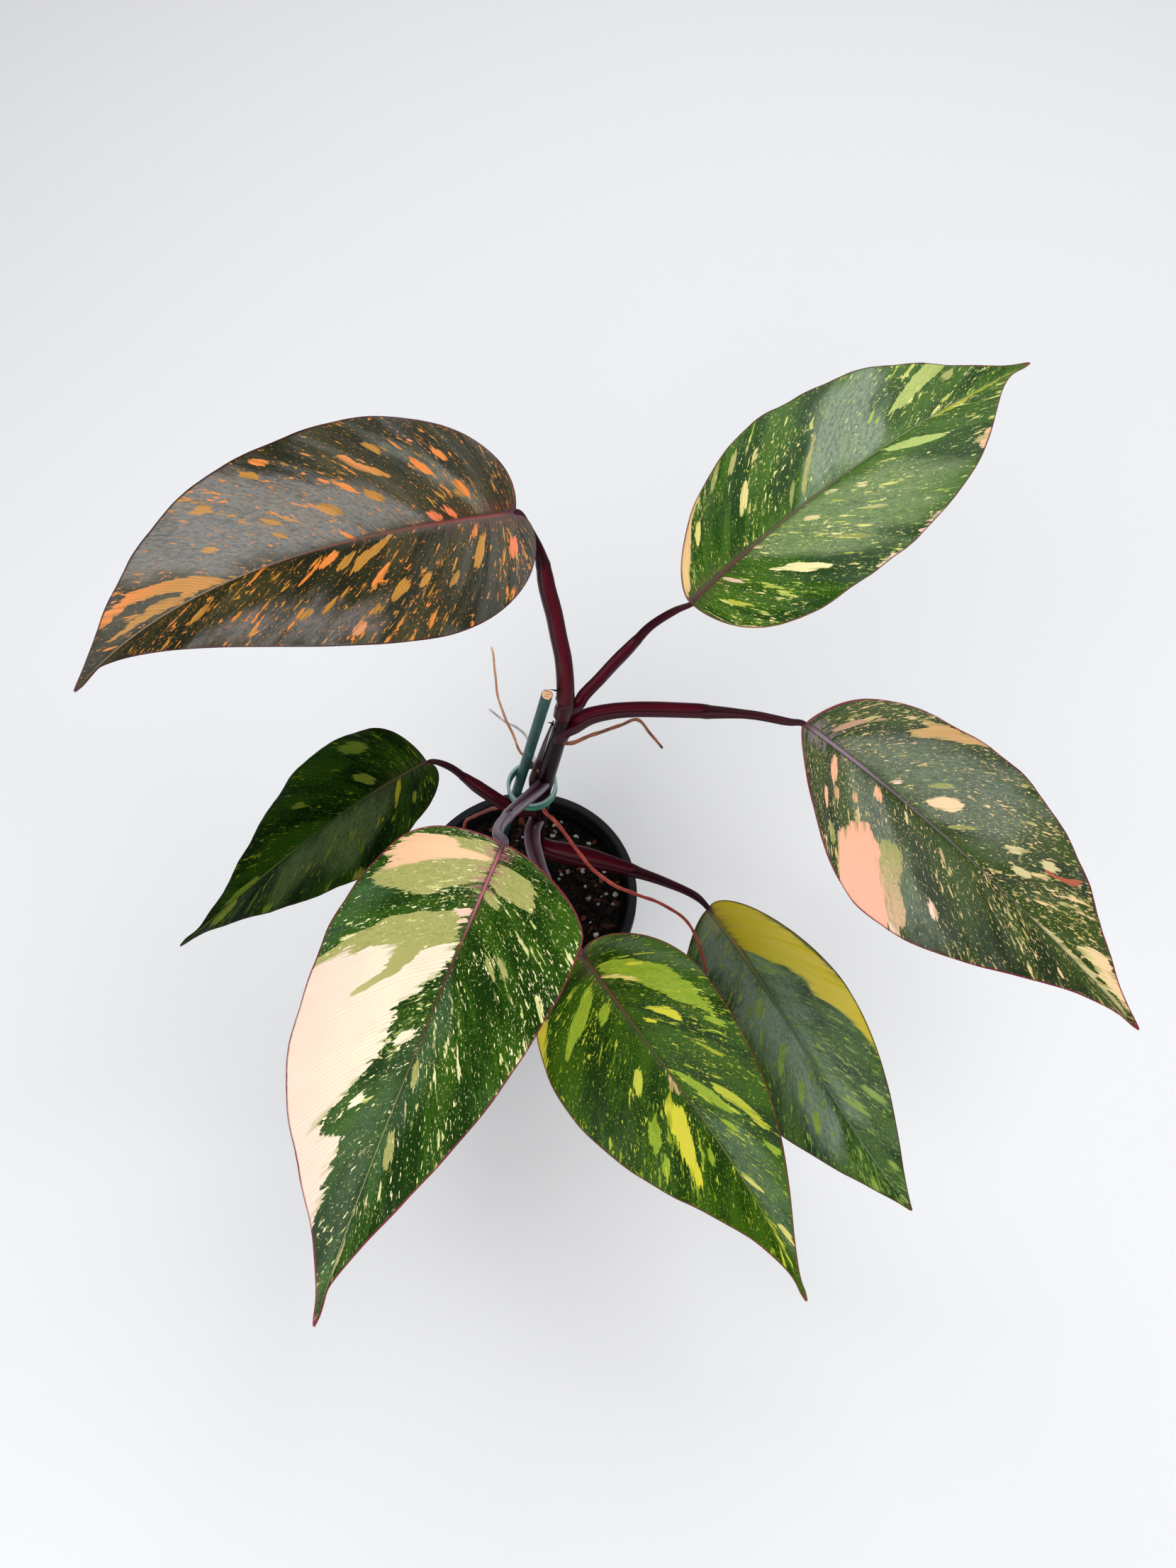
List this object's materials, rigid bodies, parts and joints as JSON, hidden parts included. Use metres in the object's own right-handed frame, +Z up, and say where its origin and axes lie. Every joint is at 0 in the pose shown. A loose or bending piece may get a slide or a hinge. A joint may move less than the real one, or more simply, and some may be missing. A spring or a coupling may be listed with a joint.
{
  "type": "potted orange princess philodendron",
  "caption": "Young potted philodendron with large pointed heart-shaped leaves flecked cream, orange and yellow, on dark red stalks, tied to a short stake in a round black nursery pot.",
  "frame": {"origin": "middle of the pot's flat underside, where the pot stands", "axes": "+Z up along the pot's axis; -Y towards the side the leaves hang forward to; +X to the right seen from there"},
  "size_m": [0.3466, 0.3121, 0.3133],
  "materials": {
    "pot_plastic": "thin moulded nursery plastic, satin black",
    "soil": "dark potting mix with white perlite and bark",
    "stake_paint": "bamboo stick, painted dark green, pale cut end",
    "tie_plastic": "soft green plastic band",
    "stem_skin": "glossy dark maroon stem skin",
    "bract_skin": "dark red drying bract",
    "stalk_skin": "glossy dark maroon leaf stalk",
    "blade_1": "dark green leaf with a bright yellow sector",
    "blade_2": "dark green leaf with yellow and lime patches",
    "blade_3": "very dark green leaf with dim olive patches",
    "blade_4": "dark green leaf with a cream and pink half",
    "blade_5": "dark green leaf with salmon sectors and cream flecks",
    "blade_6": "green leaf with cream-yellow flecks",
    "blade_7": "bronze-green leaf with orange flecks",
    "root_tan": "thin dry tan root",
    "root_grey": "thin pale grey root",
    "root_brown": "thin brown root",
    "root_red": "thin fresh red root",
    "root_rust": "thin red-brown root"
  },
  "bodies": {
    "root": {"pot": "pot_plastic", "soil": "soil", "stake": "stake_paint", "tie_ring": "tie_plastic", "stem": "stem_skin", "sheath": "bract_skin", "leaf_1_petiole": "stalk_skin", "leaf_2_petiole": "stalk_skin", "leaf_3_petiole": "stalk_skin", "leaf_4_petiole": "stalk_skin", "leaf_5_petiole": "stalk_skin", "leaf_6_petiole": "stalk_skin", "leaf_7_petiole": "stalk_skin", "leaf_1_blade": "blade_1", "leaf_2_blade": "blade_2", "leaf_3_blade": "blade_3", "leaf_4_blade": "blade_4", "leaf_5_blade": "blade_5", "leaf_6_blade": "blade_6", "leaf_7_blade": "blade_7", "root_1_tan": "root_tan", "root_2_grey": "root_grey", "root_3_brown": "root_brown", "root_4_red": "root_red", "root_5_rust": "root_rust"}
  },
  "joints": []
}
